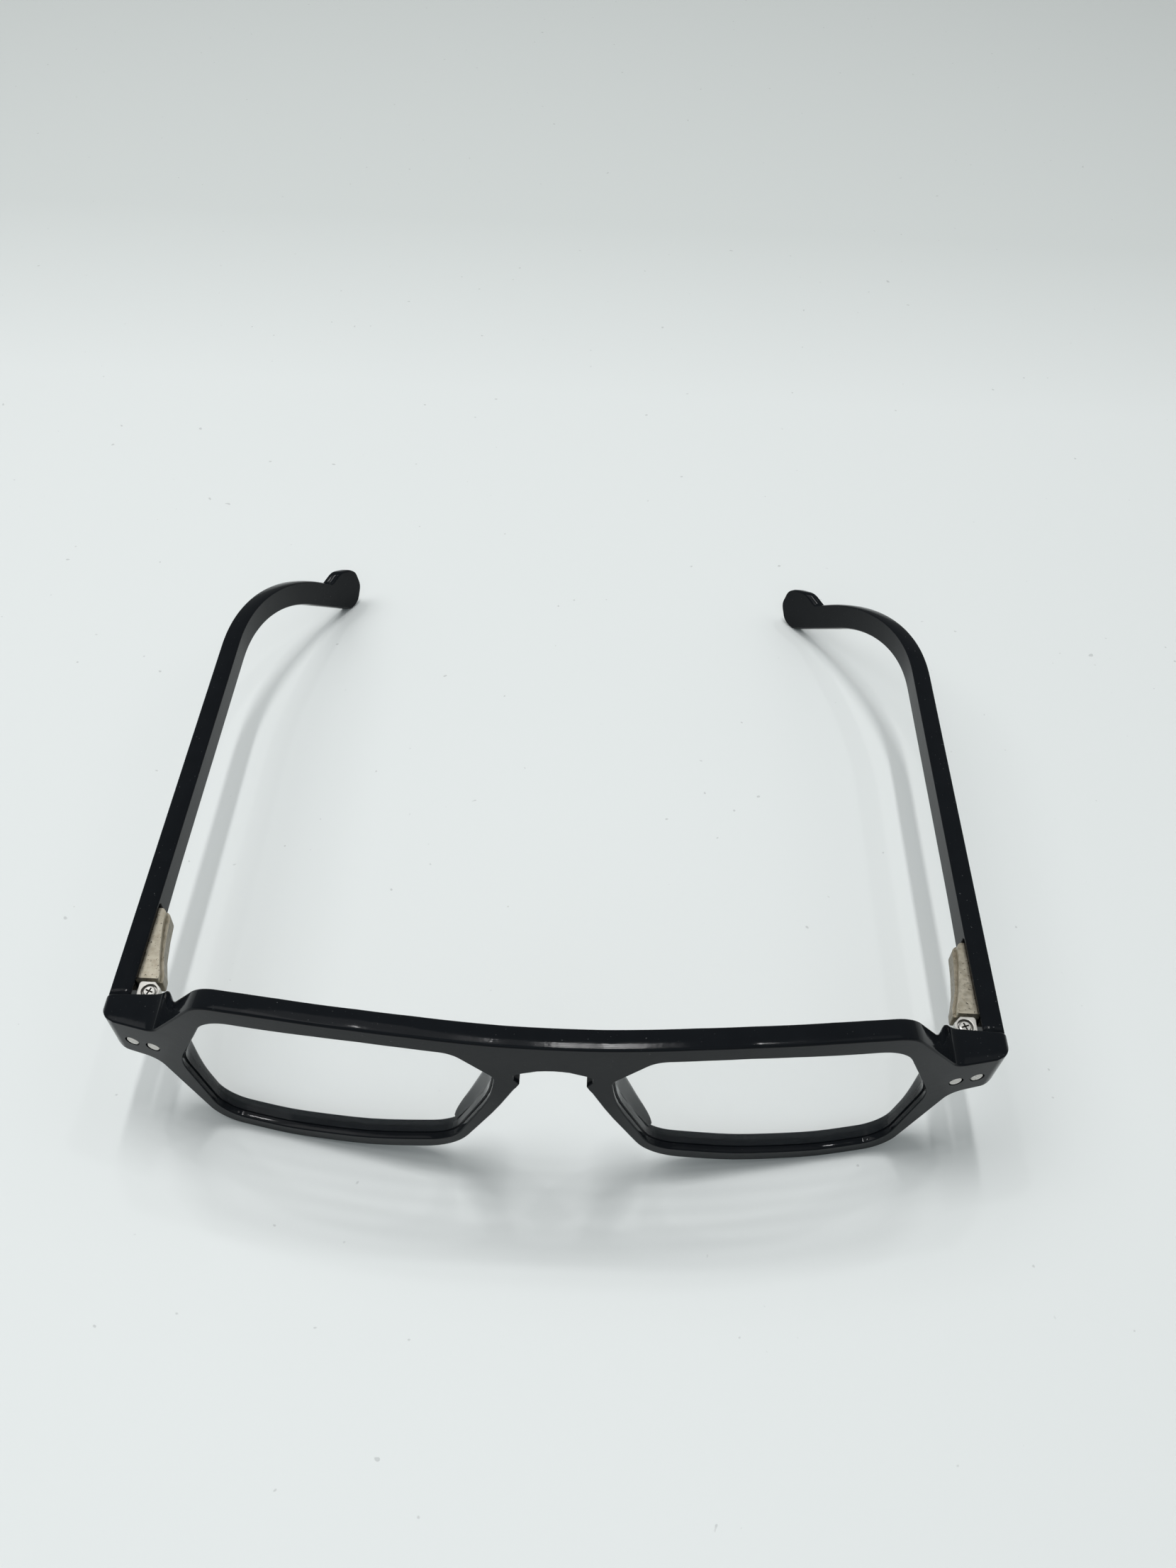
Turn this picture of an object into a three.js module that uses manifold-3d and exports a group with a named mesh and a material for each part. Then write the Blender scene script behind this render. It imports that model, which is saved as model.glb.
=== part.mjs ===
// Full-rim eyeglasses with sprung temples, in millimetres. +X is the wearer's left, +Y runs back
// along the temples and +Z is up. The glasses stand on the rims and the temple tips.
import * as THREE from 'three';
import { mergeVertices } from 'three/addons/utils/BufferGeometryUtils.js';
import Module from 'manifold-3d';

const wasm = await Module();
wasm.setup();

// ---- Driving dimensions ----
const FRONT_HALF = 70.2;         // half of the front's width
const FRONT_THICK = 3.5;         // depth of the rims and the brow bar
const BOW_RADIUS = 251;          // the front's curve around the face
const TILT = THREE.MathUtils.degToRad(4);  // the rims' lower edges sit nearer the wearer
const TILT_HEIGHT = 23.2;        // height at which the tilt moves nothing
const END_REAR = 13.8;           // flat rear face of the end pieces
const END_INNER = 59.6;          // where the deeper end piece starts
const HINGE_X = 64.6;            // hinge axis
const HINGE_Y = 16.0;
const TEMPLE_OUTER = 70.15;      // outer face of a temple
const TEMPLE_THICK = 3.3;
const TEMPLE_TOP = 27.9;
const TEMPLE_HEIGHT = 5.3;       // along the straight part and the tail
const BUTT_HEIGHT = 6.6;         // at the hinge
const BEND_Y = 97;               // where the temple starts to drop
const BEND_RADIUS = 46;
const TIP_Y = 138.2;             // where the tip touches the surface
const TIP_INWARD = 15;           // how far the tail turns in, at INWARD_END_Y
const TIP_THINNING = 0.3;        // share of its thickness that the tail loses by INWARD_END_Y
const INWARD_START_Y = 95;
const INWARD_END_Y = 139;
const LENS_THICK = 1.1;
const LENS_BITE = 0.7;           // how far a lens reaches into its groove
const SEAT_GAP = 0.2;            // clearance around lenses, plates and core wires
const PIN_GAP = 0.12;            // clearance around rivets, screws and the stem

// ---- Materials ----
const finish = (color, roughness, metalness) => () =>
  new THREE.MeshStandardMaterial({ color, roughness, metalness });
const blackGloss = finish(0x141518, 0.22, 0);
const blackPad = finish(0x1a1b1e, 0.3, 0);
const nickelSilver = finish(0xb4ac9c, 0.32, 0.95);
const steel = finish(0xc4c4c2, 0.3, 1);
const rivetSilver = finish(0xb9b6b0, 0.4, 0.95);
const clearLens = () => new THREE.MeshStandardMaterial({
  color: 0xf2f6f5, roughness: 0.05, metalness: 0, transparent: true, opacity: 0.15,
});

// ---- Solids: joins, cuts and mirror images ----
function toSolid(geometry) {
  const bare = geometry.clone();
  bare.deleteAttribute('normal');
  bare.deleteAttribute('uv');
  const merged = mergeVertices(bare, 1e-4);
  return new wasm.Manifold(new wasm.Mesh({
    numProp: 3,
    vertProperties: new Float32Array(merged.attributes.position.array),
    triVerts: new Uint32Array(merged.index.array),
  }));
}

function toGeometry(solid) {
  const mesh = solid.getMesh();
  const geometry = new THREE.BufferGeometry();
  geometry.setAttribute('position', new THREE.BufferAttribute(mesh.vertProperties, 3));
  geometry.setIndex(new THREE.BufferAttribute(mesh.triVerts, 1));
  return geometry;
}

function cut(body, tools) {
  return toGeometry(tools.reduce((solid, tool) => solid.subtract(toSolid(tool)), toSolid(body)));
}

function join(pieces) {
  return toGeometry(pieces.slice(1).reduce((solid, piece) => solid.add(toSolid(piece)), toSolid(pieces[0])));
}

// Mirror in the plane X = 0, with each triangle turned round so that it still faces out.
function mirrored(geometry) {
  const flat = geometry.index ? geometry.toNonIndexed() : geometry.clone();
  const position = flat.attributes.position;
  for (let i = 0; i < position.count; i += 3) {
    const corners = [0, 2, 1].map((k) => new THREE.Vector3().fromBufferAttribute(position, i + k));
    corners.forEach((corner, k) => position.setXYZ(i + k, -corner.x, corner.y, corner.z));
  }
  const bare = new THREE.BufferGeometry();
  bare.setAttribute('position', new THREE.BufferAttribute(new Float32Array(position.array), 3));
  return mergeVertices(bare, 1e-4);
}

const onSide = (side, geometry) => (side > 0 ? geometry : mirrored(geometry));

// ---- Outlines ----
const ARC_STEP = THREE.MathUtils.degToRad(16);

// A polygon of [u, v, radius] corners becomes a list of points with each corner rounded.
function rounded(corners) {
  const points = [];
  corners.forEach(([u, v, radius = 0], i) => {
    const here = new THREE.Vector2(u, v);
    const [pu, pv] = corners[(i + corners.length - 1) % corners.length];
    const [nu, nv] = corners[(i + 1) % corners.length];
    const back = new THREE.Vector2(pu, pv).sub(here).normalize();
    const ahead = new THREE.Vector2(nu, nv).sub(here).normalize();
    const turn = Math.PI - Math.acos(THREE.MathUtils.clamp(back.dot(ahead), -1, 1));
    if (radius === 0 || turn < 1e-3) {
      points.push(here);
      return;
    }
    const reach = radius * Math.tan(turn / 2);
    const centre = back.clone().add(ahead).normalize().multiplyScalar(radius / Math.cos(turn / 2)).add(here);
    const start = here.clone().addScaledVector(back, reach).sub(centre);
    const spin = Math.sign(back.cross(ahead)) * -1;
    const count = Math.max(1, Math.ceil(turn / ARC_STEP));
    for (let k = 0; k <= count; k += 1) {
      points.push(start.clone().rotateAround(new THREE.Vector2(), (spin * turn * k) / count).add(centre));
    }
  });
  return points;
}

// The right half's corners, listed from the top centre down to the bridge, give the whole outline.
function symmetricCorners(half) {
  const left = half.filter(([x]) => x > 0).map(([x, z, radius]) => [-x, z, radius]).reverse();
  return [...half, ...left];
}

const OUTER_HALF = [
  [0, 44.3, 250], [24, 45.0, 90], [42, 43.9, 60], [51.7, 42.5, 6.5], [61.2, 29.5, 3.2],
  [FRONT_HALF, 28.9, 1.3], [FRONT_HALF, 19.4, 1.9], [62.9, 19.1, 3],
  [56.2, 0.1, 5.5], [44, 0, 30], [30, 1.9, 40], [15.5, 6.2, 8], [8.4, 22.6, 60],
  [4.9, 32.3, 0.25], [5.75, 33.7, 0.25], [5.75, 35.1, 0.25], [5.0, 35.7, 0.25], [0, 38.3, 9.6],
];
const OPENING = [
  [28, 41.1, 90], [51.2, 38.45, 7.5], [58.7, 20.8, 10], [55.2, 3.2, 5], [44, 3.0, 30], [30, 5.1, 40],
  [15.9, 9.3, 8], [9.4, 26.5, 30], [8.6, 33.8, 2.8], [14.6, 40.7, 4],
];

// Move each corner of a lens outline out from its middle by about the given distance.
function grown(corners, distance) {
  const middle = new THREE.Vector2(33.5, 22);
  return corners.map(([x, z, radius]) => {
    const out = new THREE.Vector2(x, z).sub(middle);
    out.setLength(out.length() + distance * 1.25);
    return [middle.x + out.x, middle.y + out.y, radius + distance];
  });
}

// ---- Bent panels: the front and the lenses ----
const STRIP = 4;                 // width of the flat strips that make up the bent faces
const frontFace = (x, z) => (TILT_HEIGHT - z) * Math.tan(TILT) + (x * x) / (2 * BOW_RADIUS);

// The room between two copies of the front's bent face, moved back by near and by far.
function bentSlab(near, far) {
  const count = Math.ceil((FRONT_HALF + 4) / STRIP);
  const xs = Array.from({ length: 2 * count + 1 }, (_, k) => (k - count) * STRIP);
  const shape = new THREE.Shape([
    ...xs.map((x) => new THREE.Vector2(x, frontFace(x, TILT_HEIGHT) + near)),
    ...xs.reverse().map((x) => new THREE.Vector2(x, frontFace(x, TILT_HEIGHT) + far)),
  ]);
  const geometry = new THREE.ExtrudeGeometry(shape, { depth: 60, bevelEnabled: false });
  const position = geometry.attributes.position;
  for (let i = 0; i < position.count; i += 1) {
    const z = position.getZ(i) - 5;
    position.setXYZ(i, position.getX(i), position.getY(i) + frontFace(0, z), z);
  }
  return geometry;
}

// A clockwise outline in X and Z, with holes, between two copies of the bent face.
function panel(corners, holes, near, far) {
  const shape = new THREE.Shape(rounded(corners).reverse());
  shape.holes = holes.map((hole) => new THREE.Path(rounded(hole)));
  const straight = new THREE.ExtrudeGeometry(shape, { depth: 60, bevelEnabled: false })
    .rotateX(Math.PI / 2).translate(0, 40, 0);
  return toGeometry(toSolid(straight).intersect(toSolid(bentSlab(near, far))));
}

// A box given by its low and high corners.
function block([x0, y0, z0], [x1, y1, z1]) {
  return new THREE.BoxGeometry(x1 - x0, y1 - y0, z1 - z0)
    .translate((x0 + x1) / 2, (y0 + y1) / 2, (z0 + z1) / 2);
}

// An outline in X and Y between two heights.
function slab(corners, low, high) {
  const shape = new THREE.Shape(rounded(corners));
  return new THREE.ExtrudeGeometry(shape, { depth: high - low, bevelEnabled: false }).translate(0, 0, low);
}

// A turned piece along +Z from a list of [radius, height] that starts and ends on the axis.
const turned = (profile, sides) =>
  new THREE.LatheGeometry(profile.map(([r, z]) => new THREE.Vector2(r, z)), sides).rotateX(Math.PI / 2);

// A plain round bar between two heights on the Z axis.
const bar = (radius, low, high, sides = 20) =>
  new THREE.CylinderGeometry(radius, radius, high - low, sides)
    .rotateX(Math.PI / 2).translate(0, 0, (low + high) / 2);

// ---- Rivets through the end pieces ----
const RIVET_X = [62.55, 66.0];
const RIVET_Z = 23.4;
const RIVET = { head: 1.03, headDepth: 0.55, shank: 0.6, length: 4.4, recess: 0.1 };

// Stand a piece made along +Z on the front face, pointing back into the end piece.
function intoFront(geometry, x) {
  const yaw = Math.atan(x / BOW_RADIUS);
  return geometry.rotateX(-Math.PI / 2).rotateZ(yaw).translate(x, frontFace(x, RIVET_Z), RIVET_Z);
}

function rivet(x) {
  const { head, headDepth, shank, length, recess } = RIVET;
  const profile = [[0, recess], [head - 0.1, recess], [head, recess + 0.1], [head, recess + headDepth],
    [shank, recess + headDepth], [shank, length], [0, length]];
  return intoFront(turned(profile, 24), x);
}

function rivetHole(x) {
  const head = bar(RIVET.head + PIN_GAP, -2, RIVET.recess + RIVET.headDepth + PIN_GAP, 24);
  const shank = bar(RIVET.shank + PIN_GAP, 0, 8, 24);
  return intoFront(join([head, shank]), x);
}

// ---- Front, lenses and nose pads ----
const PLATE = { low: [60.4, 13.05, 20.9], high: [67.8, END_REAR, 27.0] };

function platePocket() {
  const [x0, y0, z0] = PLATE.low.map((value) => value - SEAT_GAP);
  const [x1, , z1] = PLATE.high.map((value) => value + SEAT_GAP);
  return block([x0, y0, z0], [x1, END_REAR + 3, z1]);
}

function lensGroove() {
  const middle = FRONT_THICK / 2;
  const half = LENS_THICK / 2 + SEAT_GAP;
  return panel(grown(OPENING, LENS_BITE + SEAT_GAP), [], middle - half, middle + half);
}

function frontFrame() {
  const outer = symmetricCorners(OUTER_HALF);
  const openings = [OPENING, OPENING.map(([x, z, radius]) => [-x, z, radius]).reverse()];
  const rims = toSolid(panel(outer, openings, 0, FRONT_THICK));
  const deep = toSolid(panel(outer, openings, 0, END_REAR));
  const ends = block([END_INNER, -5, 18.4], [FRONT_HALF + 2, END_REAR, 31]);
  const whole = [ends, mirrored(ends)].reduce((solid, end) => solid.add(deep.intersect(toSolid(end))), rims);
  const tools = [lensGroove(), platePocket(), ...RIVET_X.map(rivetHole)];
  return cut(toGeometry(whole), tools.flatMap((tool) => [tool, mirrored(tool)]));
}

function lens() {
  const middle = FRONT_THICK / 2;
  return panel(grown(OPENING, LENS_BITE), [], middle - LENS_THICK / 2, middle + LENS_THICK / 2);
}

// A saddle pad behind the nasal side of a rim: deepest at mid height, and leaning outwards.
const PAD = { gap: 0.3, edge: 0.6, depth: 2.6, low: 10.5, high: 31.8, bow: 0.9 };
const PAD_NOSE = [[13.3, PAD.low], [10.4, 17.3], [8.4, 23], [6.7, 28], [5.9, PAD.high]];
const PAD_RIM = [[8.7, PAD.high], [9.2, 28], [10.7, 23], [12.6, 17.8], [15.0, PAD.low + 1]];

function nosePad() {
  const spread = (list) => new THREE.SplineCurve(list.map(([x, z]) => new THREE.Vector2(x, z))).getPoints(14);
  const shape = new THREE.Shape([...spread(PAD_NOSE), ...spread(PAD_RIM)]);
  const geometry = new THREE.ExtrudeGeometry(shape, { depth: 1, steps: 3, bevelEnabled: false });
  const position = geometry.attributes.position;
  for (let i = 0; i < position.count; i += 1) {
    const x = position.getX(i);
    const z = position.getY(i);
    const along = (2 * z - PAD.high - PAD.low) / (PAD.high - PAD.low);
    const part = 1 - position.getZ(i);
    const back = part * (PAD.edge + PAD.depth * (1 - along ** 2) ** 0.7);
    position.setXYZ(i, x + PAD.bow * part ** 2, frontFace(x, z) + FRONT_THICK + PAD.gap + back, z);
  }
  return geometry;
}

// ---- Hinge: plate with two lugs, screw, sprung knuckle, spring and housing ----
const LUG = { inner: 1.7, outer: 1.85, rear: 1.7, low: [21.3, 22.9], high: [25.1, 26.5] };
const KNUCKLE = { radius: 1.6, low: 23.05, high: 24.95 };
const SCREW = { shank: 0.6, head: 1.0, sink: 1.25, headTop: 26.42, headDepth: 0.5, bottom: 21.1, slot: 0.26 };
const STEM = { x: 66.0, z: 24.0, radius: 0.35, start: 17.6, end: 26.0, head: 0.62, headLength: 0.6 };
const HOUSING = { front: 18.3, rear: 31.9, low: 22.6, high: 26.5, outer: 67.6, step: 25.2 };

const atHinge = (geometry) => geometry.translate(HINGE_X, HINGE_Y, 0);

// A lug is square on the outer side and bevelled on the inner one, where the housing swings past.
function lug([low, high]) {
  const { inner, outer, rear } = LUG;
  const inPlate = END_REAR - 0.4 - HINGE_Y;
  const corners = [[-inner, inPlate], [outer, inPlate], [outer, rear, 0.5], [-0.6, rear, 0.3],
    [-inner, 0.5, 0.3]];
  return atHinge(slab(corners, low, high));
}

function hingePlate() {
  const body = join([block(PLATE.low, PLATE.high), lug(LUG.low), lug(LUG.high)]);
  const bore = atHinge(bar(SCREW.shank + PIN_GAP, LUG.low[0] - 1, LUG.high[1] + 1));
  const sink = atHinge(bar(SCREW.sink, SCREW.headTop - SCREW.headDepth - PIN_GAP, LUG.high[1] + 1, 24));
  return cut(body, [bore, sink]);
}

function hingeScrew() {
  const under = SCREW.headTop - SCREW.headDepth;
  const profile = [[0, SCREW.bottom], [SCREW.shank, SCREW.bottom], [SCREW.shank, under], [SCREW.head, under],
    [SCREW.head, SCREW.headTop - 0.12], [SCREW.head - 0.2, SCREW.headTop], [0, SCREW.headTop]];
  const screw = turned(profile, 20);
  const slots = [0, Math.PI / 2].map((turn) =>
    new THREE.BoxGeometry(1.3, SCREW.slot, 0.5).rotateZ(turn + 0.35).translate(0, 0, SCREW.headTop));
  return atHinge(cut(screw, slots));
}

function stemBar(radius, start, end, sides = 16) {
  return bar(radius, start, end, sides).rotateX(-Math.PI / 2).translate(STEM.x, 0, STEM.z);
}

function sprungKnuckle() {
  const barrel = atHinge(bar(KNUCKLE.radius, KNUCKLE.low, KNUCKLE.high, 24));
  const arm = block([HINGE_X - 0.4, HINGE_Y + 0.8, KNUCKLE.low], [66.5, HOUSING.front - 0.3, KNUCKLE.high]);
  const stem = stemBar(STEM.radius, STEM.start, STEM.end);
  const stop = stemBar(STEM.head, STEM.end - STEM.headLength, STEM.end);
  const bore = atHinge(bar(SCREW.shank + PIN_GAP, KNUCKLE.low - 1, KNUCKLE.high + 1));
  return cut(join([barrel, arm, stem, stop]), [bore]);
}

// A compression spring around the stem, as a wire swept along a helix.
const SPRING = { radius: 0.58, wire: 0.12, turns: 5, start: 19.45, length: 4.3 };

class Helix extends THREE.Curve {
  getPoint(t, target = new THREE.Vector3()) {
    const angle = t * SPRING.turns * Math.PI * 2;
    return target.set(
      STEM.x + SPRING.radius * Math.cos(angle),
      SPRING.start + t * SPRING.length,
      STEM.z + SPRING.radius * Math.sin(angle),
    );
  }
}

function spring() {
  const section = Array.from({ length: 5 }, (_, k) => {
    const angle = (k / 5) * Math.PI * 2;
    return new THREE.Vector2(SPRING.wire * Math.cos(angle), SPRING.wire * Math.sin(angle));
  });
  return new THREE.ExtrudeGeometry(new THREE.Shape(section), {
    extrudePath: new Helix(), steps: SPRING.turns * 10, bevelEnabled: false,
  });
}

// The housing is a waisted box with a rounded, bulging rear end.
function springHousing() {
  const { front, rear, low, high, outer, step } = HOUSING;
  const top = [[63.7, front, 0.3], [outer, front, 0.3], [outer, rear, 0.4], [65.75, rear, 0.9],
    [65.6, 28.5, 12], [64.5, 21.8, 12], [63.8, 19.6, 2]];
  const bulge = [[63.3, front, 0.3], [outer, front, 0.3], [outer, rear + 0.1, 0.4], [65.2, rear + 0.1, 1.3],
    [64.9, 27.5, 12], [64.2, 22.0, 12], [63.4, 20.0, 2]];
  const body = join([slab(top, low + 0.6, high), slab(bulge, low, step)]);
  const mouth = stemBar(STEM.radius + PIN_GAP + 0.03, front - 1, front + 1);
  const chamber = stemBar(0.8, front + 0.8, STEM.end + 0.9);
  return cut(body, [mouth, chamber]);
}

// ---- Temples ----
const TEMPLE_INNER = TEMPLE_OUTER - TEMPLE_THICK;
const BUTT_Y = END_REAR + 0.3;
const TAPER_END_Y = 45;
const DROP = THREE.MathUtils.degToRad(45);
const MID_Z = TEMPLE_TOP - TEMPLE_HEIGHT / 2;

// Points of the line at the given distance above the temple's middle line, from one Y along the
// straight part and round the bend, to a share of the bend's angle.
function alongTemple(offset, startY, share = 1) {
  const round = Array.from({ length: 13 }, (_, k) => {
    const angle = (DROP * share * k) / 12;
    const radius = BEND_RADIUS + offset;
    const drop = BEND_RADIUS - radius * Math.cos(angle);
    return new THREE.Vector2(BEND_Y + radius * Math.sin(angle), MID_Z - drop);
  });
  return [new THREE.Vector2(startY, MID_Z + offset), ...round];
}

// The tip's corners, in Y and Z: a flare on the upper edge and a rounded end.
const TIP = [
  [133.9, 11.2, 0.8], [137.0, 12.3, 1.8], [140.9, 9.7, 3.0],
  [142.0, 4.6, 4], [140.5, 0, 2.2], [TIP_Y, 0, 1.0],
];

// Where a point of the straight temple's section lands once the tail thins and turns in.
function tailX(x, y) {
  const along = Math.max(0, y - INWARD_START_Y) / (INWARD_END_Y - INWARD_START_Y);
  return TEMPLE_INNER + (x - TEMPLE_INNER) * (1 - TIP_THINNING * along) - TIP_INWARD * along ** 2;
}

// An outline in Y and Z becomes a bar between two X positions that thins and turns in at the tail.
function templeBar(points, inner, outer) {
  const count = 14;
  const ys = Array.from({ length: count + 1 }, (_, k) =>
    THREE.MathUtils.lerp(INWARD_START_Y, INWARD_END_Y + 8, k / count));
  const line = [0, ...ys];
  const plan = new THREE.Shape([
    ...line.map((y) => new THREE.Vector2(tailX(outer, y), y)),
    ...line.reverse().map((y) => new THREE.Vector2(tailX(inner, y), y)),
  ]);
  const strips = new THREE.ExtrudeGeometry(plan, { depth: 60, bevelEnabled: false }).translate(0, 0, -10);
  const side = new THREE.ExtrudeGeometry(new THREE.Shape(points), { depth: 80, bevelEnabled: false })
    .rotateY(Math.PI / 2).rotateX(Math.PI / 2);
  return toGeometry(toSolid(side).intersect(toSolid(strips)));
}

function templeOutline() {
  const upper = alongTemple(TEMPLE_HEIGHT / 2, BUTT_Y);
  const lower = alongTemple(-TEMPLE_HEIGHT / 2, TAPER_END_Y);
  const taper = Array.from({ length: 8 }, (_, k) => {
    const along = k / 8;
    const extra = (BUTT_HEIGHT - TEMPLE_HEIGHT) * (1 - along) ** 1.5;
    return new THREE.Vector2(THREE.MathUtils.lerp(BUTT_Y, TAPER_END_Y, along), lower[0].y - extra);
  });
  const corners = [upper.at(-1), ...TIP, lower.at(-1)].map((p) => (Array.isArray(p) ? p : [p.x, p.y]));
  const tip = rounded([...corners, [lower.at(-1).x - 1, upper.at(-1).y - 1]]);
  const tipEnd = tip.findIndex((p) => p.distanceTo(lower.at(-1)) < 1e-6);
  return [...upper, ...tip.slice(1, tipEnd), ...lower.reverse(), ...taper.reverse()];
}

const CORE = { inner: 68.55, outer: 69.25, half: 0.9, startY: 16, share: 0.9 };

function coreOutline(grow, startY) {
  const half = CORE.half + grow;
  const share = CORE.share + 0.05 * grow;
  return [...alongTemple(half, startY, share), ...alongTemple(-half, startY, share).reverse()];
}

const coreWire = () => templeBar(coreOutline(0, CORE.startY), CORE.inner, CORE.outer);

function temple() {
  const body = templeBar(templeOutline(), TEMPLE_INNER, TEMPLE_OUTER);
  const slot = templeBar(coreOutline(SEAT_GAP, BUTT_Y - 1), CORE.inner - SEAT_GAP, CORE.outer + SEAT_GAP);
  const seat = block([TEMPLE_INNER - 1, BUTT_Y - 1, TEMPLE_TOP - BUTT_HEIGHT - 1],
    [HOUSING.outer + 0.25, HOUSING.rear + 0.5, HOUSING.high + 0.3]);
  return cut(body, [slot, seat]);
}

// ---- Assembly ----
const glasses = new THREE.Group();
glasses.name = 'eyeglasses';

function addPiece(name, geometry, material) {
  const mesh = new THREE.Mesh(geometry, material());
  mesh.name = name;
  glasses.add(mesh);
}

addPiece('front_frame', frontFrame(), blackGloss);
for (const [side, word] of [[1, 'left'], [-1, 'right']]) {
  addPiece(`lens_${word}`, onSide(side, lens()), clearLens);
  addPiece(`nose_pad_${word}`, onSide(side, nosePad()), blackPad);
  RIVET_X.forEach((x, k) => {
    addPiece(`rivet_${word}_${k ? 'outer' : 'inner'}`, onSide(side, rivet(x)), rivetSilver);
  });
  addPiece(`hinge_plate_${word}`, onSide(side, hingePlate()), nickelSilver);
  addPiece(`hinge_screw_${word}`, onSide(side, hingeScrew()), steel);
  addPiece(`sprung_knuckle_${word}`, onSide(side, sprungKnuckle()), steel);
  addPiece(`spring_${word}`, onSide(side, spring()), steel);
  addPiece(`spring_housing_${word}`, onSide(side, springHousing()), nickelSilver);
  addPiece(`temple_${word}`, onSide(side, temple()), blackGloss);
  addPiece(`core_wire_${word}`, onSide(side, coreWire()), steel);
}

// The origin is under the middle of the whole object.
const size = new THREE.Box3().setFromObject(glasses);
glasses.position.set(0, -(size.min.y + size.max.y) / 2, -size.min.z);

export default glasses;
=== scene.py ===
"""Black acetate eyeglasses standing open on a pale table. Lengths are in millimetres until MM turns
them into metres. X runs to the wearer's left, Y back along the temples and Z up."""
import math

import bmesh
import bpy
from mathutils import Matrix, Vector
from mathutils.geometry import delaunay_2d_cdt


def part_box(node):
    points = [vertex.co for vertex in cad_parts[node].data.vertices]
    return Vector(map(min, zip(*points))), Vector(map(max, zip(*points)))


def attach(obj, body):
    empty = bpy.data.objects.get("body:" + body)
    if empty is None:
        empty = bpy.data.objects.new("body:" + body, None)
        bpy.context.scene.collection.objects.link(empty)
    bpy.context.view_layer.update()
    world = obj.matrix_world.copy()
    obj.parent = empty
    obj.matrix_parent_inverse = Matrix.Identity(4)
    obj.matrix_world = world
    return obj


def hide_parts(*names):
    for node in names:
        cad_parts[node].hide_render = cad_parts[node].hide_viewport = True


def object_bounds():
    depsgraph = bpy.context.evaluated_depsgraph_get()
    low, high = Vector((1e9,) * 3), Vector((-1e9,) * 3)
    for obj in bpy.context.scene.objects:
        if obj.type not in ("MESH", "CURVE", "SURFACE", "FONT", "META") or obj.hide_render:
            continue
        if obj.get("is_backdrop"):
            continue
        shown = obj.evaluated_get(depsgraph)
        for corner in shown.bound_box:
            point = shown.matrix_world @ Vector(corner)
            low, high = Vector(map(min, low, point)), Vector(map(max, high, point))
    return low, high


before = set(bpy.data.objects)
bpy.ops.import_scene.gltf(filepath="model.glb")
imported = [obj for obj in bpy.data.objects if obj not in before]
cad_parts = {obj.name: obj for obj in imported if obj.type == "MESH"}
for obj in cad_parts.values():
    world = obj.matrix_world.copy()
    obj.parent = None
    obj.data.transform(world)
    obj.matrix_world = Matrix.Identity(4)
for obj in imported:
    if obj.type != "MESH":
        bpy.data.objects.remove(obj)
cad_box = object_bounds()

MM = 0.001
SIDES = (("left", 1), ("right", -1))

# ---- Front: depths, tilt and bow, as the CAD has them ----
END_REAR = 13.8                  # flat rear face of the end pieces
BOW_RADIUS = 251
TILT = math.radians(4)
TILT_HEIGHT = 23.2
FRONT_HALF = 70.2
FRONT_THICK = 3.5
REAR_BAND = 0.45                 # this much at the back of the front moves rearwards at the end pieces
RAMP = (56.8, 60.6)              # where the rim grows back into the deeper end piece
END_ROUND = (2.4, 2.7)           # how far an end piece's outer front corner is rounded, in X and in Y
RIVETS = (62.55, 66.0)
RIVET_Z = 23.4

# ---- Front: corners (x, z, radius) and edges ----
OUTER_HALF = [
    (0, 44.3, 250), (24, 45.0, 90), (42, 43.9, 60), (51.7, 42.5, 6.5), (61.2, 29.5, 3.2),
    (70.2, 28.9, 1.3), (70.2, 19.4, 2.9), (62.9, 19.1, 3), (56.2, 0.1, 5.5), (44, 0, 30), (30, 1.9, 40),
    (15.5, 6.2, 12), (8.4, 22.6, 60), (4.9, 32.3, 0.25), (5.75, 33.7, 0.25), (5.75, 35.1, 0.25),
    (5.0, 35.7, 0.25), (0, 38.3, 9.6),
]
OPENING = [
    (28, 41.1, 90), (51.2, 38.45, 7.5), (58.7, 20.8, 10), (55.2, 3.2, 5), (44, 3.0, 30), (30, 5.1, 40),
    (15.9, 9.3, 8), (9.4, 26.5, 30), (8.6, 33.8, 2.8), (14.6, 40.7, 4),
]
OUTER_EDGES = (0.34, 0.4)        # rounding radii of the front and rear edges
OPENING_EDGES = (0.22, 0.35)
RIVET_HOLE = 1.14
RIVET_EDGES = (0.1, 0.1)
GROOVE = [(0, 1.1), (-0.25, 1.16), (-0.25, 2.3), (0, 2.36)]  # the lens groove, as (inset, depth)
BROW_HEIGHTS = (41.5, 43)        # the outer edge gets rounder between these heights
BROW_ROUNDER = 0.3
KEYHOLE_HALF = 7
KEYHOLE_HEIGHTS = (31, 36.5)
KEYHOLE_SHARE = 0.45             # edges in the keyhole keep this share of their radius
RAMP_COLUMNS = 5                 # free points help the faces to follow the ramp and the rounded corner
CORNER_COLUMNS = (1, 0.8, 0.6, 0.45, 0.32)
FREE_HEIGHTS = [15 + 1.1 * k for k in range(18)]

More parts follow.
